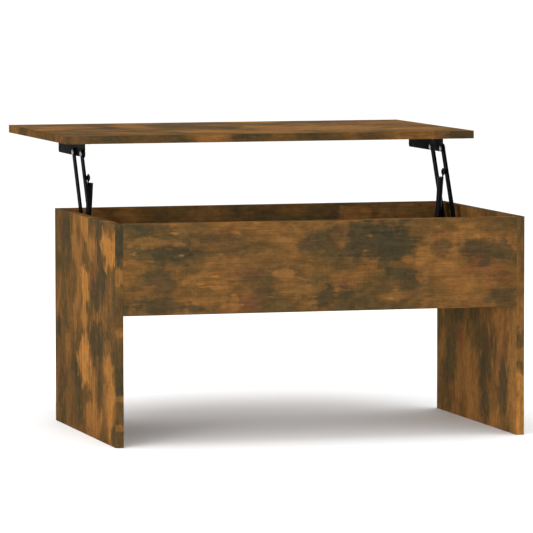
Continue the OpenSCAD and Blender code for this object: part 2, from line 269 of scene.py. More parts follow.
def smoked_oak(name, grain, seed, dark=(), light=(), glow=TAN, tone_and_painted_light=0.62, smoky=0.5):
    """A smoked oak print: watery patches of brown and grey-green, long grain and faint saw marks.

    dark and light are patches listed in metres in the table's frame: (centre, half sizes,
    strength). glow is the colour of the light ones, smoky its grey-green, and tone the print's brightness
    together with painted light and shade: each board's tone is set to how bright its face comes out under the
    light.
    """
    s = Shader(name)
    place = s.place()
    shift = (seed * 1.7, seed * 2.3, seed * 0.9)

    def scales(along, crosswise):
        return tuple(along if axis == grain else crosswise for axis in range(3))

    def patches(scale, detail, stretch, offset=0.0):
        moved = tuple(c + offset for c in shift)
        return s.noise(s.stretch(place, scales(scale * stretch, scale), moved), 1, detail, 0.55, 0.35)

    # broad patches, and blocks with soft borders, together give the tone
    broad = patches(15, 6, 0.6)
    cells = s.node("ShaderNodeTexVoronoi", distance="CHEBYCHEV", feature="SMOOTH_F1")
    drift = s.node("ShaderNodeTexNoise")
    s.feed(drift.inputs["Vector"], s.stretch(place, scales(20, 34), shift))
    drift.inputs["Scale"].default_value = 1
    drift.inputs["Detail"].default_value = 3
    moved = s.node("ShaderNodeVectorMath", operation="MULTIPLY_ADD")
    s.feed(moved.inputs[0], drift.outputs["Color"])
    moved.inputs[1].default_value = (1.1, 1.1, 1.1)
    s.feed(moved.inputs[2], s.stretch(place, scales(11, 17), shift))
    s.feed(cells.inputs["Vector"], moved.outputs[0])
    cells.inputs["Scale"].default_value = 1
    cells.inputs["Smoothness"].default_value = 0.3
    parts = s.node("ShaderNodeSeparateColor")
    s.feed(parts.inputs[0], cells.outputs["Color"])
    tone_here = s.math("ADD", s.math("MULTIPLY", parts.outputs[0], 0.34), s.remap(broad, 0.3, 0.7, 0.0, 0.66))
    colour = s.ramp(tone_here, [(0.2, OLIVE), (0.42, BROWN), (0.6, RUST), (0.86, TAN)])

    # redder stains, and grey-green smoke, over the patches
    stain = patches(16, 3, 0.7, 8.0)
    colour = s.mix(s.remap(stain, 0.54, 0.68, 0.0, 0.5), colour, RED)
    smoke = patches(12, 3, 0.7, 5.0)
    colour = s.mix(s.remap(smoke, 0.52, 0.68, 0.0, smoky), colour, SOOT)

    # the listed patches, with their outlines broken up along the grain
    waver = s.math("MULTIPLY", s.math("SUBTRACT", patches(30, 4, 1.0, 9.0), 0.5), 3.0)
    ragged = s.math("MULTIPLY", s.math("SUBTRACT", patches(170, 3, 0.12, 13.0), 0.5), 1.5)
    broken = s.math("ADD", waver, ragged)
    for blots, paint in ((dark, SOOT), (light, glow)):
        cover = None
        for centre, half, strength in blots:
            spread = s.node("ShaderNodeMapping", vector_type="POINT")
            s.feed(spread.inputs["Vector"], place)
            spread.inputs["Scale"].default_value = [1 / h for h in half]
            spread.inputs["Location"].default_value = [-c / h for c, h in zip(centre, half)]
            span = s.node("ShaderNodeVectorMath", operation="LENGTH")
            s.feed(span.inputs[0], spread.outputs[0])
            here = s.remap(s.math("ADD", span.outputs["Value"], broken), 1.4, 0.7, 0.0, strength)
            cover = here if cover is None else s.math("MAXIMUM", cover, here)
        if cover is not None:
            colour = s.mix(cover, colour, paint)

    # long grain, finer pores, light flecks along the grain, and saw marks across it
    grain_wide = s.noise(s.stretch(place, scales(7, 120), shift), 1, 5, 0.62, 0.25)
    grain_fine = s.noise(s.stretch(place, scales(22, 620), shift), 1, 4, 0.6)
    saw = s.noise(s.stretch(place, scales(330, 16), shift), 1, 3, 0.6)
    saw_where = s.remap(s.noise(s.stretch(place, (9, 9, 9), shift), 1, 2), 0.48, 0.64)
    colour = s.mix(s.remap(grain_wide, 0.38, 0.68, 0.0, 0.42), colour, OLIVE)
    flecks = s.noise(s.stretch(place, scales(44, 300), shift), 1, 3, 0.5)
    fleck_where = s.remap(s.noise(s.stretch(place, (17, 17, 17), shift), 1, 2), 0.52, 0.66)
    fleck = s.math("MULTIPLY", s.remap(flecks, 0.58, 0.72), fleck_where)
    colour = s.mix(s.math("MULTIPLY", fleck, 0.5), colour, HONEY)
    saw_marks = s.math("MULTIPLY", saw_where, s.remap(saw, 0.35, 0.65, -0.06, 0.08))
    light_and_dark = s.math("ADD", s.remap(grain_fine, 0.3, 0.7, 0.88, 1.12), saw_marks)
    mottle = s.noise(s.stretch(place, scales(70, 130), shift), 1, 5, 0.65)
    light_and_dark = s.math("ADD", light_and_dark, s.remap(mottle, 0.36, 0.64, -0.14, 0.14))
    # The board's tone scales the whole print: the print's own brightness together with painted light and
    # shade for that face.
    toned = s.math("MULTIPLY", light_and_dark, tone_and_painted_light)
    greys = s.node("ShaderNodeCombineColor")
    for socket in greys.inputs:
        s.feed(socket, toned)
    colour = s.mix(1.0, colour, greys.outputs[0], "MULTIPLY")

    height = s.math("ADD", s.math("MULTIPLY", grain_fine, 0.7), s.math("MULTIPLY", grain_wide, 0.3))
    s.bump(height, 0.25, 0.0003)
    rough = s.remap(grain_wide, 0.3, 0.7, 0.5, 0.68)
    return s.set(Base_Color=colour, Roughness=rough, Specular_IOR_Level=0.001)


def powder_coat(name):
    """Semi-gloss black powder coat, with a fine orange-peel surface and slightly rubbed high spots."""
    s = Shader(name)
    place = s.place()
    peel = s.noise(place, 900, 2)
    rub = s.noise(place, 60, 4, 0.65)
    colour = s.ramp(rub, [(0.35, (0.0015, 0.0015, 0.0017, 1)), (0.75, (0.004, 0.004, 0.0044, 1))])
    s.bump(peel, 0.12, 0.0001)
    return s.set(Base_Color=colour, Roughness=s.remap(rub, 0.3, 0.7, 0.38, 0.52), Specular_IOR_Level=0.004)


def zinc_plate(name, tint, rough):
    """Zinc plate: metal with a faint mottle in its shine."""
    s = Shader(name)
    place = s.place()
    mottle = s.noise(place, 260, 4, 0.6)
    dull = tuple(c * 0.82 for c in tint[:3]) + (1,)
    s.bump(s.noise(place, 1400, 2), 0.06, 0.00005)
    return s.set(
        Base_Color=s.mix(s.remap(mottle, 0.4, 0.7), tint, dull),
        Metallic=1.0,
        Roughness=s.remap(mottle, 0.3, 0.7, rough - 0.06, rough + 0.12),
    )


def coated_wire(name):
    """Black spring wire, oiled, and a little paler and rougher in patches."""
    s = Shader(name)
    place = s.place()
    wear = s.noise(place, 420, 3, 0.6)
    colour = s.ramp(wear, [(0.4, (0.010, 0.010, 0.0105, 1)), (0.75, (0.022, 0.022, 0.0225, 1))])
    rough = s.remap(wear, 0.3, 0.7, 0.28, 0.42)
    return s.set(Base_Color=colour, Metallic=0.8, Roughness=rough, Specular_IOR_Level=0.03)


def beech(name):
    """Plain pale beech, its fibres running along X."""
    s = Shader(name)
    fibre = s.noise(s.stretch(s.place(), (60, 900, 900)), 1, 4, 0.6)
    s.bump(fibre, 0.3, 0.0002)
    return s.set(Base_Color=s.mix(fibre, srgb(214, 178, 126), srgb(176, 136, 88)), Roughness=0.6)


# ---------------------------------------------------------------- what the CAD says

WELD = 0.001 * MM


def solids(node):
    """The box of each separate solid in a CAD node, as (lowest corner, highest corner)."""
    shape = bmesh.new()
    shape.from_mesh(frame["nodes"][node].data)
    bmesh.ops.remove_doubles(shape, verts=shape.verts, dist=WELD)
    unseen = set(shape.verts)
    found = []
    while unseen:
        waiting = [unseen.pop()]
        members = list(waiting)
        while waiting:
            vertex = waiting.pop()
            for edge in vertex.link_edges:
                other = edge.other_vert(vertex)
                if other in unseen:
                    unseen.remove(other)
                    waiting.append(other)
                    members.append(other)
        low = Vector([min(v.co[i] for v in members) for i in range(3)])
        high = Vector([max(v.co[i] for v in members) for i in range(3)])
        found.append((low, high))
    shape.free()
    return sorted(found, key=lambda box: tuple(round(c, 5) for c in box[0]))


def right_hand(boxes):
    """The boxes on the right-hand side only. The left-hand ones are their mirror images."""
    return [(low, high) for low, high in boxes if low.x > 0]


def in_mm(box):
    low, high = box
    return low / MM, high / MM


def middle_yz(box):
    """The Y and Z of a box's middle, in millimetres."""
    low, high = box
    return (low.y + high.y) / 2 / MM, (low.z + high.z) / 2 / MM


JOINTS = {joint["name"]: joint for joint in record["behaviour"]["joints"]}


def pivot_yz(joint):
    """The Y and Z of a joint's axis, in metres."""
    return JOINTS[joint]["pos_m"][1], JOINTS[joint]["pos_m"][2]


# ---------------------------------------------------------------- building meshes

SMOOTH_UNDER = math.radians(28)
CROWN = 0.04
BEND_STEPS = 6
BEND_MARGIN = 0.4


def to_side(shape, side):
    """Mirrors a shape drawn for the right-hand side if it is for the left, and turns its faces out."""
    if side < 0:
        shape.transform(Matrix.Diagonal((-1, 1, 1, 1)))
    bmesh.ops.recalc_face_normals(shape, faces=shape.faces)


def add_piece(name, shape, material, slot, body, *nodes):
    """Makes a bmesh an object that rides on a body and stands for CAD nodes."""
    mesh = bpy.data.meshes.new(name)
    shape.to_mesh(mesh)
    shape.free()
    mesh.materials.append(material)
    mesh.shade_smooth()
    mesh.set_sharp_from_angle(angle=SMOOTH_UNDER)
    piece = bpy.data.objects.new(name, mesh)
    bpy.context.scene.collection.objects.link(piece)
    if body is not None:
        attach(piece, body)
    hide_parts(*nodes)
    return piece


def merged(shapes):
    """One bmesh from several."""
    whole = bmesh.new()
    for shape in shapes:
        part = bpy.data.meshes.new("part")
        shape.to_mesh(part)
        shape.free()
        whole.from_mesh(part)
        bpy.data.meshes.remove(part)
    return whole


def skin(rings, closed_loop=False):
    """A bmesh over rings of points, with its ends capped unless the rings run round in a loop."""
    shape = bmesh.new()
    rows = [[shape.verts.new(point) for point in ring] for ring in rings]
    pairs = list(zip(rows, rows[1:])) + ([(rows[-1], rows[0])] if closed_loop else [])
    for one, two in pairs:
        count = len(one)
        for i in range(count):
            shape.faces.new((one[i], one[(i + 1) % count], two[(i + 1) % count], two[i]))
    if not closed_loop:
        shape.faces.new(rows[0])
        shape.faces.new(rows[-1])
    bmesh.ops.recalc_face_normals(shape, faces=shape.faces)
    return shape


def lathe(profile, place=Matrix.Identity(4), segments=40, closed_loop=False):
    """Turns a profile of (distance along X, radius) round the X axis, then moves it to its place."""
    rings = []
    for along, radius in profile:
        ring = []
        for i in range(segments):
            a = 2 * math.pi * i / segments
            ring.append(place @ Vector((along, radius * math.cos(a), radius * math.sin(a))))
        rings.append(ring)
    return skin(rings, closed_loop)


def at_yz(y, z):
    return Matrix.Translation((0, y, z))


def dome(base, radius, height, rim=0.35, steps=7):
    """A rivet head's profile, from its rim at base to its crown at base + height along X."""
    points = [(base, radius)]
    for i in range(steps):
        a = math.pi / 2 * i / steps
        points.append((base + height * (rim + (1 - rim) * math.sin(a)), radius * math.cos(a)))
    points.append((base + height, radius * CROWN))
    return points


def chamfered(x0, x1, radius, edge):
    """A round bar's profile with small chamfers at both ends."""
    return [(x0, radius - edge), (x0 + edge, radius), (x1 - edge, radius), (x1, radius - edge)]


def rounded_outline(x0, y0, x1, y1, radii, inset=0.0):
    """A rectangle's outline with its own radius at each corner, from the lowest corner anticlockwise."""
    corners = [(x0, y0, 1, 1, 180), (x1, y0, -1, 1, 270), (x1, y1, -1, -1, 0), (x0, y1, 1, -1, 90)]
    outline = []
    for (x, y, right, up, start), radius in zip(corners, radii):
        radius = max(radius, inset + 0.05)
        steps = max(2, int(radius * 2) + 2)
        for i in range(steps + 1):
            a = math.radians(start + 90 * i / steps)
            reach = radius - inset
            outline.append((
                x + right * radius + reach * math.cos(a),
                y + up * radius + reach * math.sin(a),
            ))
    return outline


def round_hole(x, y, radius, inset=0.0):
    steps = max(20, int(radius * 6))
    turns = [2 * math.pi * i / steps for i in range(steps)]
    return [(x + (radius + inset) * math.cos(a), y + (radius + inset) * math.sin(a)) for a in turns]


def evaluated(holder):
    """A new mesh of an object as its curve or its modifiers make it."""
    bpy.context.view_layer.update()
    return bpy.data.meshes.new_from_object(holder.evaluated_get(bpy.context.evaluated_depsgraph_get()))


def plate(outline_of, holes, thickness, edge):
    """A flat plate in millimetres, its middle at Z = 0, with its edges and holes rounded over.

    outline_of takes the inset and gives the outline; holes are (x, y, radius).
    """
    curve = bpy.data.curves.new("plate", "CURVE")
    curve.dimensions = "2D"
    curve.fill_mode = "BOTH"
    curve.extrude = thickness / 2 - edge
    curve.bevel_depth = edge
    curve.bevel_resolution = 1
    for loop in [outline_of(edge)] + [round_hole(*hole, edge) for hole in holes]:
        spline = curve.splines.new("POLY")
        spline.points.add(len(loop) - 1)
        for point, (x, y) in zip(spline.points, loop):
            point.co = (x, y, 0, 1)
        spline.use_cyclic_u = True
    holder = bpy.data.objects.new("plate", curve)
    bpy.context.scene.collection.objects.link(holder)
    mesh = evaluated(holder)
    bpy.data.objects.remove(holder)
    bpy.data.curves.remove(curve)
    shape = bmesh.new()
    shape.from_mesh(mesh)
    bpy.data.meshes.remove(mesh)
    bmesh.ops.remove_doubles(shape, verts=shape.verts, dist=0.0005)
    return shape


def fold(shape, start, heading, legs):
    """Bends a plate whose length runs along X, so that its middle follows the legs in the XZ plane.

    legs are (length, turn in degrees), turning anticlockwise. The plate's own Y stays Y.
    """
    marks, at = [], 0.0
    for length, turn in legs:
        if turn:
            marks.append(at - BEND_MARGIN)
            marks += [at + length * i / BEND_STEPS for i in range(BEND_STEPS + 1)]
            marks.append(at + length + BEND_MARGIN)
        at += length
    for mark in marks:
        everything = shape.verts[:] + shape.edges[:] + shape.faces[:]
        bmesh.ops.bisect_plane(
            shape, geom=everything, plane_co=(mark, 0, 0), plane_no=(1, 0, 0), dist=1e-5
        )

    def follow(length):
        x, z = start
        a = math.radians(heading)
        for leg, turn in legs:
            step = min(length, leg)
            if turn:
                bend = math.radians(turn) * step / leg
                radius = leg / math.radians(turn)
                x += radius * (math.sin(a + bend) - math.sin(a))
                z -= radius * (math.cos(a + bend) - math.cos(a))
                a += bend
            else:
                x += step * math.cos(a)
                z += step * math.sin(a)
            length -= step
            if length <= 1e-9:
                break
        return x, z, a

    for vertex in shape.verts:
        x, z, a = follow(vertex.co.x)
        across = vertex.co.z
        vertex.co = (x - across * math.sin(a), vertex.co.y, z + across * math.cos(a))


def in_metres(shape):
    shape.transform(Matrix.Scale(MM, 4))


def strip(low, high, outside, edge=0.5):
    """A strip of edge banding, in millimetres, with the edges of its outside face rounded over.

    outside is the axis number and the sign of that face.
    """
    shape = bmesh.new()
    bmesh.ops.create_cube(shape, size=1)
    for vertex in shape.verts:
        for i in range(3):
            vertex.co[i] = low[i] if vertex.co[i] < 0 else high[i]
    axis, sign = outside
    face = max(shape.faces, key=lambda f: sign * f.calc_center_median()[axis])
    bmesh.ops.bevel(
        shape, geom=list(face.edges), offset=edge, segments=3, profile=0.5, affect="EDGES",
        clamp_overlap=True,
    )
    return shape


def tube(path, radius, across, segments=12):
    """A round wire along a path. across is a direction that the path never runs along."""
    rings = []
    for i, point in enumerate(path):
        ahead = (path[min(i + 1, len(path) - 1)] - path[max(i - 1, 0)]).normalized()
        out = ahead.cross(across).normalized()
        up = out.cross(ahead)
        rings.append([
            point + radius * (math.cos(a) * out + math.sin(a) * up)
            for a in (2 * math.pi * k / segments for k in range(segments))
        ])
    return skin(rings)


# ---------------------------------------------------------------- the materials in use

coat = powder_coat("black_powder_coat")
zinc = zinc_plate("bright_zinc", (0.27, 0.275, 0.285, 1), 0.32)
cast_zinc = zinc_plate("cast_zinc", (0.24, 0.24, 0.25, 1), 0.42)
wire = coated_wire("spring_wire")
dowel_beech = beech("beech")

# How far a listed blotch reaches through its board, to each side of its centre
THROUGH = 0.06

side_low, side_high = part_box("right_side_panel")
top_low, top_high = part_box("top_panel")
side_middle = (side_low.x + side_high.x) / 2
rear_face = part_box("rear_apron")[0].y


def on_side_face(side, spots):
    """Blotches on a side panel: (y, z, half length along Y, half height, strength)."""
    x = SIDES[side] * side_middle
    return [((x, y, z), (THROUGH, hy, hz), much) for y, z, hy, hz, much in spots]


def on_apron(y, spots):
    """Blotches on an apron: (x, z, half length along X, half height, strength)."""
    return [((x, y, z), (hx, THROUGH, hz), much) for x, z, hx, hz, much in spots]


def on_top(spots):
    """Blotches on the table top: (x, y, half length along X, half depth, strength)."""
    return [((x, y, top_high.z), (hx, hy, THROUGH), much) for x, y, hx, hy, much in spots]


def on_rear_edges(spots):
    """Blotches on the side panels' rear edges: (side, z, half height, strength)."""
    return [
        ((SIDES[side] * side_middle, rear_face, z), (THROUGH, THROUGH, hz), much)
        for side, z, hz, much in spots
    ]


def on_top_edge(spots):
    """Blotches on the top's rear edge: (x, half length, strength)."""
    return [((x, top_low.y, top_high.z), (hx, THROUGH, THROUGH), much) for x, hx, much in spots]


# Each board's tone is partly painted light and shade: it is set to how bright its face comes out under the
# light, not only to the print, so boards of one laminate differ.
OAK = {
    "rear_apron": smoked_oak(
        "oak_rear_apron", ALONG_X, 3,
        dark=on_apron(rear_face, [
            (-0.277, 0.35, 0.042, 0.022, 0.8), (-0.331, 0.399, 0.04, 0.011, 0.6),
            (-0.304, 0.301, 0.026, 0.021, 0.6), (-0.304, 0.253, 0.06, 0.014, 0.7),
            (0.111, 0.37, 0.07, 0.037, 0.85), (0.011, 0.268, 0.034, 0.02, 0.8),
            (-0.004, 0.363, 0.042, 0.019, 0.65), (0.315, 0.343, 0.046, 0.021, 0.65),
            (0.157, 0.305, 0.032, 0.011, 0.7), (0.338, 0.259, 0.03, 0.015, 0.6),
            (-0.112, 0.301, 0.036, 0.032, 0.4), (-0.189, 0.367, 0.042, 0.019, 0.45),
            (0.2265, 0.35, 0.022, 0.013, 0.5), (0.173, 0.282, 0.036, 0.016, 0.4),
        ]),
        light=on_apron(rear_face, [
            (-0.135, 0.333, 0.08, 0.014, 0.35), (-0.07, 0.309, 0.014, 0.011, 0.8),
            (-0.043, 0.282, 0.038, 0.016, 0.5), (0.192, 0.324, 0.013, 0.029, 0.55),
            (0.28, 0.278, 0.044, 0.022, 0.45), (-0.327, 0.37, 0.048, 0.009, 0.55),
            (-0.166, 0.255, 0.01, 0.013, 0.7), (0.165, 0.328, 0.012, 0.008, 0.7),
            (0.138, 0.263, 0.018, 0.007, 0.6), (-0.2, 0.3, 0.03, 0.012, 0.35),
            (0.06, 0.3, 0.04, 0.012, 0.3),
        ]),
        tone_and_painted_light=0.575,
        smoky=0.2,
    ),
    "left_side_panel": smoked_oak(
        "oak_left_panel", ALONG_Z, 5,
        dark=on_side_face("left", [
            (-0.116, 0.367, 0.03, 0.045, 0.8), (-0.135, 0.297, 0.032, 0.042, 0.8),
            (-0.089, 0.263, 0.048, 0.025, 0.75), (-0.097, 0.182, 0.07, 0.033, 0.75),
            (0.207, 0.186, 0.018, 0.022, 0.8), (0.057, 0.12, 0.019, 0.033, 0.75),
            (-0.028, 0.128, 0.012, 0.026, 0.7), (0.149, 0.359, 0.048, 0.025, 0.5),
            (0.149, 0.305, 0.062, 0.018, 0.4), (-0.22, 0.028, 0.02, 0.024, 0.7),
            (0.088, 0.036, 0.1, 0.03, 0.35),
        ]),
        light=on_side_face("left", [
            (-0.005, 0.39, 0.024, 0.024, 0.7), (-0.006, 0.278, 0.032, 0.034, 0.95),
            (0.003, 0.224, 0.022, 0.026, 0.7), (0.007, 0.14, 0.04, 0.042, 0.95),
            (-0.197, 0.355, 0.052, 0.029, 0.9), (-0.18, 0.136, 0.032, 0.028, 0.8),
            (-0.2, 0.074, 0.029, 0.048, 0.8), (-0.058, 0.351, 0.025, 0.021, 0.5),
            (-0.066, 0.036, 0.07, 0.025, 0.5), (0.08, 0.213, 0.015, 0.032, 0.4),
            (-0.06, 0.1, 0.03, 0.02, 0.4),
        ]),
        glow=HONEY,
        tone_and_painted_light=0.59,
        smoky=0.2,
    ),
    "right_side_panel": smoked_oak(
        "oak_right_panel", ALONG_Z, 11,
        dark=on_side_face("right", [
            (-0.045, 0.07, 0.03, 0.07, 0.7), (-0.16, 0.074, 0.03, 0.05, 0.7),
            (0.18, 0.12, 0.02, 0.03, 0.5), (-0.07, 0.15, 0.05, 0.03, 0.4), (0.2, 0.05, 0.03, 0.04, 0.4),
            (-0.05, 0.34, 0.05, 0.03, 0.6), (0.05, 0.27, 0.04, 0.03, 0.5),
        ]),
        light=on_side_face("right", [
            (0.034, 0.075, 0.05, 0.08, 0.6), (-0.22, 0.11, 0.03, 0.1, 0.7),
            (0.205, 0.13, 0.02, 0.03, 0.5), (0.095, 0.07, 0.035, 0.04, 0.5),
            (-0.15, 0.3, 0.04, 0.04, 0.5), (0.12, 0.36, 0.05, 0.03, 0.4),
        ]),
        # Painted light: this tone is raised to brighten the right panel's inner face, which lies in shade
        # under the apron and the top.
        tone_and_painted_light=0.84,
        smoky=0.2,
    ),
    "front_apron": smoked_oak(
        "oak_front_apron", ALONG_X, 17,
        light=on_apron(-rear_face, [
            (0.2, 0.385, 0.03, 0.015, 0.7), (0.3, 0.38, 0.04, 0.02, 0.5), (-0.1, 0.39, 0.05, 0.012, 0.3),
        ]),
        tone_and_painted_light=0.68,
    ),
    "bottom_panel": smoked_oak("oak_bottom", ALONG_X, 23),
    "top_panel": smoked_oak(
        "oak_top", ALONG_X, 31,
        dark=on_top([
            (-0.1, 0.45, 0.06, 0.1, 0.6), (-0.02, 0.34, 0.02, 0.05, 0.6), (0.27, 0.53, 0.06, 0.04, 0.5),
            (-0.23, 0.4, 0.03, 0.06, 0.5), (0.12, 0.13, 0.04, 0.03, 0.4), (-0.34, 0.15, 0.06, 0.05, 0.4),
        ]),
        light=on_top([
            (0.18, 0.3, 0.1, 0.1, 0.8), (-0.08, 0.22, 0.05, 0.05, 0.8), (0.318, 0.21, 0.065, 0.05, 0.7),
            (0.06, 0.3, 0.05, 0.12, 0.6), (-0.19, 0.45, 0.03, 0.1, 0.6), (0, 0.16, 0.06, 0.04, 0.6),
        ]),
        tone_and_painted_light=0.72,
        smoky=0.2,
    ),
}
# The edges' tones are painted light and shade too, each set to how bright that edge comes out under the
# light.
OAK_EDGES = {
    "side": smoked_oak(
        "oak_side_edges", ALONG_Z, 41,
        dark=on_rear_edges([
            ("left", 0.372, 0.04, 0.9), ("left", 0.245, 0.028, 0.5), ("left", 0.15, 0.05, 0.6),
            ("right", 0.046, 0.005, 0.9), ("right", 0.088, 0.004, 0.9), ("right", 0.19, 0.02, 0.3),
        ]),
        light=on_rear_edges([
            ("left", 0.312, 0.014, 0.35), ("left", 0.035, 0.006, 0.4), ("left", 0.088, 0.005, 0.4),
            ("left", 0.206, 0.006, 0.3), ("right", 0.03, 0.035, 0.95), ("right", 0.1, 0.025, 0.9),
            ("right", 0.225, 0.03, 0.3), ("right", 0.15, 0.012, 0.3),
        ]),
        glow=HONEY,
        tone_and_painted_light=0.56,
        smoky=0.2,
    ),
    "apron": smoked_oak("oak_apron_edges", ALONG_X, 47, smoky=0.2),
    "top": smoked_oak(
        "oak_top_edges", ALONG_X, 53,
        dark=on_top_edge([
            (0.372, 0.036, 0.8), (0.2, 0.05, 0.4), (0.1, 0.03, 0.3), (-0.05, 0.03, 0.5),
            (-0.3, 0.12, 0.5),
        ]),
        light=on_top_edge([(0.305, 0.03, 0.3), (0.02, 0.03, 0.3), (-0.1, 0.015, 0.4)]),
        tone_and_painted_light=0.56,
        smoky=0.2,
    ),
}

for node, material in list(OAK.items()) + [
    ("wood_dowels", dowel_beech), ("cam_bolts", zinc), ("cam_locks", cast_zinc),
]:
    mesh = frame["nodes"][node].data
    mesh.materials.clear()
    mesh.materials.append(material)


# ---------------------------------------------------------------- edge banding

BAND = 0.8


def side_bands(side):
    (x0, y0, z0), (x1, y1, z1) = in_mm(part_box(f"{side}_side_edge_bands"))
    shape = merged([
        strip((x0, y0, z1 - BAND), (x1, y1, z1), (2, 1)),
        strip((x0, y0, z0), (x1, y0 + BAND, z1 - BAND), (1, -1)),
        strip((x0, y1 - BAND, z0), (x1, y1, z1 - BAND), (1, 1)),
    ])
    in_metres(shape)
    add_piece(
        f"{side}_side_edge_strips", shape, OAK_EDGES["side"], "edge_banding", "base",
        f"{side}_side_edge_bands",
    )


def apron_bands(end):
    (x0, y0, z0), (x1, y1, z1) = in_mm(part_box(f"{end}_apron_edge_bands"))
    shape = merged([
        strip((x0, y0, z1 - BAND), (x1, y1, z1), (2, 1)),
        strip((x0, y0, z0), (x1, y1, z0 + BAND), (2, -1)),
    ])
    in_metres(shape)
    add_piece(
        f"{end}_apron_edge_strips", shape, OAK_EDGES["apron"], "edge_banding", "base",
        f"{end}_apron_edge_bands",
    )


def top_bands():
    (x0, y0, z0), (x1, y1, z1) = in_mm(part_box("top_edge_bands"))
    shape = merged([
        strip((x0, y0, z0), (x1, y0 + BAND, z1), (1, -1)),
        strip((x0, y1 - BAND, z0), (x1, y1, z1), (1, 1)),
        strip((x0, y0 + BAND, z0), (x0 + BAND, y1 - BAND, z1), (0, -1)),
        strip((x1 - BAND, y0 + BAND, z0), (x1, y1 - BAND, z1), (0, 1)),
    ])
    in_metres(shape)
    add_piece("top_edge_strips", shape, OAK_EDGES["top"], "edge_banding", "top", "top_edge_bands")


for side in SIDES:
    side_bands(side)
for end in ("rear", "front"):
    apron_bands(end)
top_bands()


# ---------------------------------------------------------------- bent steel brackets

STEEL = 2.0
BEND = 2.5
QUARTER_BEND = BEND * math.pi / 2
SHEET_EDGE = 0.35
ARM_EDGE = 0.45

lower_rivets = right_hand(solids("lower_pivot_rivets"))
upper_rivets = right_hand(solids("upper_pivot_rivets"))
anchor_pins = right_hand(solids("spring_anchor_pins"))
stop_pins = right_hand(solids("arm_stop_pins"))
base_screws = right_hand(solids("base_bracket_screws"))
top_screws = right_hand(solids("top_bracket_screws"))

PIVOT_HOLE = 3.55
PIN_HOLE = 3.05
SCREW_HOLE = 2.3
ACCESS_HOLE = 5.5
EAR_HEIGHT = 60.0
EAR_ROUND = 10.0
TOP_BRACKET_ROUNDS = [4, 2, 6, 4]


def base_bracket(side):
    """A channel: a back on the side panel, a web at its foot, and an ear that carries the pivots."""
    (x0, y0, z0), (x1, y1, z1) = in_mm(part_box("right_base_bracket"))
    bend_end = z0 + STEEL / 2 + BEND
    back = z1 - bend_end
    web = (x1 - x0) - STEEL - 2 * BEND
    ear_start = back + 2 * QUARTER_BEND + web
    ear = EAR_HEIGHT - STEEL / 2 - BEND
    length = ear_start + ear
    holes = []
    for box in base_screws:
        y, z = middle_yz(box)
        holes.append((z1 - z, y, SCREW_HOLE))
        if z < z0 + EAR_HEIGHT / 2:
            holes.append((ear_start + z - bend_end, y, ACCESS_HOLE))
    for boxes, radius in ((lower_rivets, PIVOT_HOLE), (anchor_pins, PIN_HOLE), (stop_pins, PIN_HOLE)):
        for box in boxes:
            y, z = middle_yz(box)
            holes.append((ear_start + z - bend_end, y, radius))
    shape = plate(
        lambda inset: rounded_outline(0, y0, length, y1, [EAR_ROUND] * 4, inset), holes, STEEL, SHEET_EDGE
    )
    fold(shape, (x1 - STEEL / 2, z1), -90, [
        (back, 0), (QUARTER_BEND, -90), (web, 0), (QUARTER_BEND, -90), (ear, 0),
    ])
    in_metres(shape)
    to_side(shape, SIDES[side])
    add_piece(f"{side}_base_bracket_sheet", shape, coat, "black_steel", "base", f"{side}_base_bracket")


def top_bracket(side):
    """An angle: a shelf screwed under the top, and a flange that hangs down beside the arms."""
    (x0, y0, z0), (x1, y1, z1) = in_mm(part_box("right_top_bracket"))
    shelf = (x1 - x0) - STEEL / 2 - BEND
    flange_start = shelf + QUARTER_BEND
    bend_end = z1 - STEEL / 2 - BEND
    length = flange_start + bend_end - z0
    holes = []
    for low, high in top_screws:
        holes.append(((low.x + high.x) / 2 / MM - x0, (low.y + high.y) / 2 / MM, SCREW_HOLE))
    for box in upper_rivets:
        y, z = middle_yz(box)
        holes.append((flange_start + bend_end - z, y, PIVOT_HOLE))
    shape = plate(
        lambda inset: rounded_outline(0, y0, length, y1, TOP_BRACKET_ROUNDS, inset), holes, STEEL, SHEET_EDGE
    )
    fold(shape, (x0, z1 - STEEL / 2), 0, [(shelf, 0), (QUARTER_BEND, -90), (bend_end - z0, 0)])
    in_metres(shape)
    to_side(shape, SIDES[side])
    add_piece(f"{side}_top_bracket_sheet", shape, coat, "black_steel", "top", f"{side}_top_bracket")


for side in SIDES:
    base_bracket(side)
    top_bracket(side)


# ---------------------------------------------------------------- arms

lift_y, lift_z = pivot_yz("lift")
top_y, top_z = pivot_yz("top_turn")
ARM_RUN = Vector((0, top_y - lift_y, top_z - lift_z))


def arm(side, which):
    node = f"{side}_{which}_arm"
    joint = "lift" if node == "left_rear_arm" else f"{node}_turn"
    y, z = pivot_yz(joint)
    low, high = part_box(f"right_{which}_arm")
    width = (high.y - low.y - ARM_RUN.y) / MM
    thickness = (high.x - low.x) / MM
    length = ARM_RUN.length / MM
    holes = [(0, 0, PIVOT_HOLE), (length, 0, PIVOT_HOLE)]
    if which == "rear":
        eye_y, eye_z = pivot_yz(f"{side}_upper_hook_turn")
        holes.append((math.hypot(eye_y - y, eye_z - z) / MM, 0, PIN_HOLE))
    half = width / 2
    shape = plate(
        lambda inset: rounded_outline(-half, -half, length + half, half, [half] * 4, inset),
        holes, thickness, ARM_EDGE,
    )
    in_metres(shape)
    along = ARM_RUN.normalized()
    across = Vector((1, 0, 0)).cross(along)
    turn = Matrix((along, across, Vector((1, 0, 0)))).transposed().to_4x4()
    shape.transform(Matrix.Translation(((low.x + high.x) / 2, y, z)) @ turn)
    to_side(shape, SIDES[side])
    add_piece(f"{node}_bar", shape, coat, "black_steel", node, node)


for side in SIDES:
    for which in ("rear", "front"):
        arm(side, which)


# ---------------------------------------------------------------- rivets, washers, pins and screws

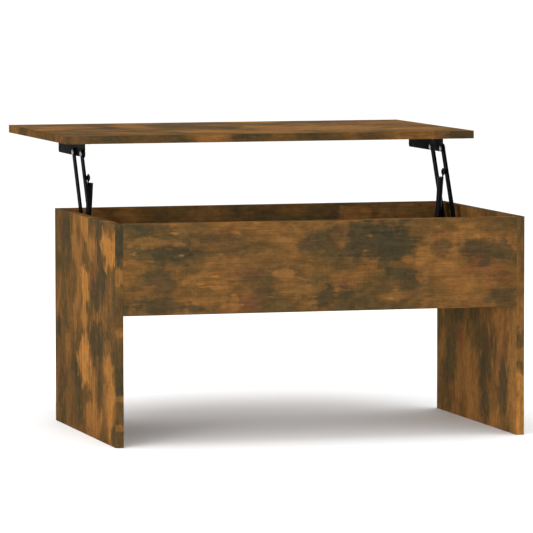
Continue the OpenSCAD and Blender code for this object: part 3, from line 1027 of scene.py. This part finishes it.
HEAD_RADIUS = 5.7
SHANK_RADIUS = 3.5
FULL_HEAD = 2.0
SLIM_HEAD = 1.9
WASHER_EDGE = 0.12

PIN_RADIUS = 4.0
PIN_HEAD = 0.8
PIN_HEAD_RADIUS = 4.6
PIN_TAIL_RADIUS = 3.0
PIN_BUTTON = 1.0
PIN_BUTTON_RADIUS = 5.0
PIN_CHAMFER = 0.5
ARM_THICKNESS = 3.0


def mirrored_pair(name, makers, material, slot, body, node):
    """One piece for both sides: each maker draws a shape for the right-hand side."""
    shapes = []
    for side in SIDES.values():
        for maker in makers:
            shape = maker()
            in_metres(shape)
            to_side(shape, side)
            shapes.append(shape)
    add_piece(name, merged(shapes), material, slot, body, node)


def rivet(box, inner_head, outer_head):
    """A shank with a domed head at each end. The heads are given by their heights."""
    def make():
        (x0, _, _), (x1, _, _) = in_mm(box)
        y, z = middle_yz(box)
        inner = list(reversed(dome(x0 + inner_head, HEAD_RADIUS, -inner_head)))
        outer = dome(x1 - outer_head, HEAD_RADIUS, outer_head)
        shank = [(x0 + inner_head, SHANK_RADIUS), (x1 - outer_head, SHANK_RADIUS)]
        return lathe(inner + shank + outer, at_yz(y, z))
    return make


def washer(box):
    """A flat ring round a rivet, with its edges broken."""
    def make():
        (x0, y0, _), (x1, y1, _) = in_mm(box)
        y, z = middle_yz(box)
        outer, inner, edge = (y1 - y0) / 2, PIVOT_HOLE, WASHER_EDGE
        profile = [
            (x0, inner + edge), (x0, outer - edge), (x0 + edge, outer), (x1 - edge, outer),
            (x1, outer - edge), (x1, inner + edge), (x1 - edge, inner), (x0 + edge, inner),
        ]
        return lathe(profile, at_yz(y, z), closed_loop=True)
    return make


def post(box, head, plate_thickness):
    """A pin riveted in a plate: a button outside the plate, and inside it a body that may end in a head."""
    def make():
        (x0, _, _), (x1, _, _) = in_mm(box)
        y, z = middle_yz(box)
        plate_out = x1 - PIN_BUTTON
        plate_in = plate_out - plate_thickness
        if head:
            profile = chamfered(x0, x0 + head, PIN_HEAD_RADIUS, PIN_CHAMFER / 2)
            profile += [(x0 + head, PIN_RADIUS)]
        else:
            profile = [(x0, PIN_RADIUS - PIN_CHAMFER), (x0 + PIN_CHAMFER, PIN_RADIUS)]
        profile += [(plate_in, PIN_RADIUS), (plate_in, PIN_TAIL_RADIUS), (plate_out, PIN_TAIL_RADIUS)]
        profile += dome(plate_out, PIN_BUTTON_RADIUS, PIN_BUTTON, rim=0.2)
        return lathe(profile, at_yz(y, z))
    return make


SCREW_HEAD = 2.0
SCREW_HEAD_RADIUS = 4.0
SCREW_SHANK_RADIUS = 1.5
SCREW_POINT = 2.2
THREAD_RADIUS = 1.8
THREAD_CORE = 1.25
THREAD_PITCH = 1.0
RECESS_LENGTH = 4.4
RECESS_WIDTH = 1.0
RECESS_HEIGHT = 3
RECESS_TAPER = 0.45


def cross_recess():
    """The cutter for a screw's cross recess, in millimetres: centred on Z = 0, and narrower below it."""
    shape = bmesh.new()
    for turn in (0, 90):
        for vertex in bmesh.ops.create_cube(shape, size=1)["verts"]:
            narrow = RECESS_TAPER if vertex.co.z < 0 else 1.0
            x, y, z = vertex.co
            y *= RECESS_WIDTH * (0.6 + 0.4 * narrow)
            vertex.co = Vector((x * RECESS_LENGTH * narrow, y, z * RECESS_HEIGHT))
            vertex.co.rotate(Matrix.Rotation(math.radians(turn), 3, "Z"))
    return shape


def cut(shape, cutter):
    """shape less cutter, both bmeshes, as a new bmesh."""
    holders = []
    for given in (shape, cutter):
        mesh = bpy.data.meshes.new("cutting")
        given.to_mesh(mesh)
        given.free()
        holder = bpy.data.objects.new("cutting", mesh)
        bpy.context.scene.collection.objects.link(holder)
        holders.append(holder)
    modifier = holders[0].modifiers.new("cut", "BOOLEAN")
    modifier.operation = "DIFFERENCE"
    modifier.solver = "EXACT"
    modifier.use_self = True
    modifier.object = holders[1]
    mesh = evaluated(holders[0])
    result = bmesh.new()
    result.from_mesh(mesh)
    bpy.data.meshes.remove(mesh)
    for holder in holders:
        mesh = holder.data
        bpy.data.objects.remove(holder)
        bpy.data.meshes.remove(mesh)
    return result


def screw(length):
    """A pan-head wood screw in millimetres, its head's crown at the origin, pointing up to Z = length."""
    at = length - SCREW_POINT
    profile = [(length, 0.08), (at, 1.3)]
    while at > SCREW_HEAD + 1.5 * THREAD_PITCH:
        valley = [(at - THREAD_PITCH * share, THREAD_CORE) for share in (0.45, 0.55)]
        profile += [(at, THREAD_RADIUS)] + valley
        at -= THREAD_PITCH
    profile += [(SCREW_HEAD, SCREW_SHANK_RADIUS), (SCREW_HEAD, SCREW_HEAD_RADIUS)]
    profile += dome(SCREW_HEAD, SCREW_HEAD_RADIUS, -SCREW_HEAD, rim=0.3)[1:]
    body = lathe(profile, Matrix.Rotation(math.radians(-90), 4, "Y"), segments=32)
    recess = cross_recess()
    recess.transform(Matrix.Translation((0, 0, -0.2)) @ Matrix.Rotation(math.pi, 4, "X"))
    return cut(body, recess)


def screws(boxes, along_x):
    """Screws for both sides, each stopped at its own turn. They go outwards if along_x, or else up."""
    shapes = []
    low, high = boxes[0]
    length = (high.x - low.x if along_x else high.z - low.z) / MM
    master = screw(length)
    for side in SIDES.values():
        for i, (low, high) in enumerate(boxes):
            middle = (low + high) / 2
            shape = master.copy()
            in_metres(shape)
            shape.transform(Matrix.Rotation(0.7 * i + 0.4 * side, 4, "Z"))
            if along_x:
                shape.transform(Matrix.Rotation(math.radians(90), 4, "Y"))
                shape.transform(Matrix.Translation((low.x, middle.y, middle.z)))
            else:
                shape.transform(Matrix.Translation((middle.x, middle.y, low.z)))
            to_side(shape, side)
            shapes.append(shape)
    master.free()
    return merged(shapes)


mirrored_pair(
    "lower_rivets", [rivet(box, SLIM_HEAD, FULL_HEAD) for box in lower_rivets],
    zinc, "zinc", "base", "lower_pivot_rivets",
)
mirrored_pair(
    "upper_rivets", [rivet(box, FULL_HEAD, FULL_HEAD) for box in upper_rivets],
    zinc, "zinc", "top", "upper_pivot_rivets",
)
mirrored_pair(
    "lower_washers", [washer(box) for box in right_hand(solids("lower_pivot_washers"))],
    zinc, "zinc", "base", "lower_pivot_washers",
)
mirrored_pair(
    "upper_washers", [washer(box) for box in right_hand(solids("upper_pivot_washers"))],
    zinc, "zinc", "top", "upper_pivot_washers",
)
mirrored_pair(
    "anchor_pins", [post(box, PIN_HEAD, STEEL) for box in anchor_pins],
    coat, "black_steel", "base", "spring_anchor_pins",
)
mirrored_pair(
    "stop_pins", [post(box, 0, STEEL) for box in stop_pins],
    coat, "black_steel", "base", "arm_stop_pins",
)
for side, sign in SIDES.items():
    shape = post(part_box("right_spring_pin"), PIN_HEAD, ARM_THICKNESS)()
    in_metres(shape)
    to_side(shape, sign)
    add_piece(f"{side}_arm_spring_pin", shape, coat, "black_steel", f"{side}_rear_arm", f"{side}_spring_pin")
add_piece("base_screws", screws(base_screws, True), zinc, "zinc", "base", "base_bracket_screws")
add_piece("top_screws", screws(top_screws, False), zinc, "zinc", "top", "top_bracket_screws")


# ---------------------------------------------------------------- springs

# Sizes in millimetres. NECK_END, HOOK_START, STEM_END and COIL_START are places along the spring, from the
# pin at that end. The hook starts a hair short of the plug, so that it can't cut into it.
NECK_END = 11.0
HOOK_START = NECK_END - 0.05
CAP = 1.5
CAP_CHAMFER = 0.3
STEM = 9.0
STEM_RADIUS = 3.75
STEM_CHAMFER = 0.8
STEM_END = NECK_END + CAP + STEM

COIL_RADIUS = 6.0
WIRE_RADIUS = 1.0
COIL_START = NECK_END + CAP + WIRE_RADIUS + 0.1
COIL_MEAN_RADIUS = COIL_RADIUS - WIRE_RADIUS - 0.02
CLOSE_PITCH = 2.12
TURN_STEPS = 20
WIRE_SIDES = 8

EYE_RADIUS = 5.8
EYE_WIRE = 1.5
EYE_SHIFT = 4.0
# Where the eye's ring begins, in radians, and how far it runs, in degrees
EYE_OPENS = math.radians(25)
EYE_SWEEP = 308
EYE_STEPS = 42
NECK_STEP = 0.6
NECK_STEPS = 4
BEND_POINTS = 6

SIDEWAYS = Vector((1, 0, 0))


def spring_frame(side):
    """A spring's lower pin, its direction towards the upper pin, and the distance between them."""
    ends = []
    for which in ("lower", "upper"):
        y, z = pivot_yz(f"{side}_{which}_hook_turn")
        ends.append(Vector((JOINTS[f"{side}_{which}_hook_turn"]["pos_m"][0], y, z)))
    span = ends[1] - ends[0]
    return ends[0], span.normalized(), span.length


def hook_path():
    """A hook's wire as (along, across, sideways), in millimetres from where the pin meets the coil's axis.

    It runs straight from the plug, bends aside, and goes round the pin. The whole hook lies EYE_SHIFT
    nearer the plate than the coil's axis.
    """
    def on_eye(angle):
        return Vector((EYE_RADIUS * math.cos(angle), EYE_RADIUS * math.sin(angle), EYE_SHIFT))

    path = [Vector((HOOK_START - NECK_STEP * i, 0, EYE_SHIFT)) for i in range(NECK_STEPS)]
    start = Vector((HOOK_START - NECK_STEP * NECK_STEPS, 0, EYE_SHIFT))
    pulls = (start, Vector((7.2, 0, EYE_SHIFT)), Vector((5.9, 0.6, EYE_SHIFT)), on_eye(EYE_OPENS))
    for i in range(BEND_POINTS):
        t = i / BEND_POINTS
        weights = ((1 - t) ** 3, 3 * t * (1 - t) ** 2, 3 * t * t * (1 - t), t ** 3)
        path.append(sum((w * p for w, p in zip(weights, pulls)), Vector((0, 0, 0))))
    for i in range(EYE_STEPS + 1):
        path.append(on_eye(EYE_OPENS + math.radians(EYE_SWEEP * i / EYE_STEPS)))
    return path


def hook_and_plug(side, end, pin, onward, over):
    """The hook and the plug at one end of a spring. onward points from the pin into the spring."""
    outwards = SIDES[side] * SIDEWAYS
    points = [pin + MM * (p.x * onward + p.y * over + p.z * outwards) for p in hook_path()]
    add_piece(
        f"{side}_{end}_hook_wire", tube(points, EYE_WIRE * MM, SIDEWAYS), wire, "spring_steel",
        f"{side}_spring_lower_hook" if end == "lower" else f"{side}_spring_upper_end",
        f"{side}_spring_{end}_hook",
    )
    profile = chamfered(NECK_END, NECK_END + CAP, COIL_RADIUS, CAP_CHAMFER)
    profile += [(NECK_END + CAP, STEM_RADIUS), (STEM_END - STEM_CHAMFER, STEM_RADIUS)]
    profile += [(STEM_END, STEM_RADIUS - STEM_CHAMFER)]
    shape = lathe(profile)
    in_metres(shape)
    turn = Matrix((onward, over, onward.cross(over))).transposed().to_4x4()
    shape.transform(Matrix.Translation(pin) @ turn)
    add_piece(
        f"{side}_{end}_plug_turned", shape, wire, "spring_steel", f"{side}_spring_{end}_end",
        f"{side}_spring_{end}_plug",
    )


def coil(side, pin, along, across, span):
    """A spring's wire, wound from its lower plug to its upper one."""
    start, finish = COIL_START, span - COIL_START
    turns = round((finish - start) / CLOSE_PITCH)
    rise = (finish - start) / (2 * math.pi * turns)
    rings = []
    for i in range(turns * TURN_STEPS + 1):
        a = 2 * math.pi * i / TURN_STEPS
        out = math.cos(a) * SIDEWAYS + math.sin(a) * across
        round_it = -math.sin(a) * SIDEWAYS + math.cos(a) * across
        ahead = (round_it * COIL_MEAN_RADIUS + along * rise).normalized()
        up = out.cross(ahead)
        centre = pin + MM * (along * (start + rise * a) + out * COIL_MEAN_RADIUS)
        rings.append([
            centre + MM * WIRE_RADIUS * (math.cos(b) * out + math.sin(b) * up)
            for b in (2 * math.pi * k / WIRE_SIDES for k in range(WIRE_SIDES))
        ])
    piece = add_piece(f"{side}_coil", skin(rings), wire, "spring_steel", None, f"{side}_spring")
    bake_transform(piece)


def spring(side):
    lower_pin, along, length = spring_frame(side)
    across = SIDEWAYS.cross(along)
    span = length / MM
    hook_and_plug(side, "lower", lower_pin, along, across)
    hook_and_plug(side, "upper", lower_pin + along * span * MM, -along, -across)
    coil(side, lower_pin, along, across, span)


for side in SIDES:
    spring(side)
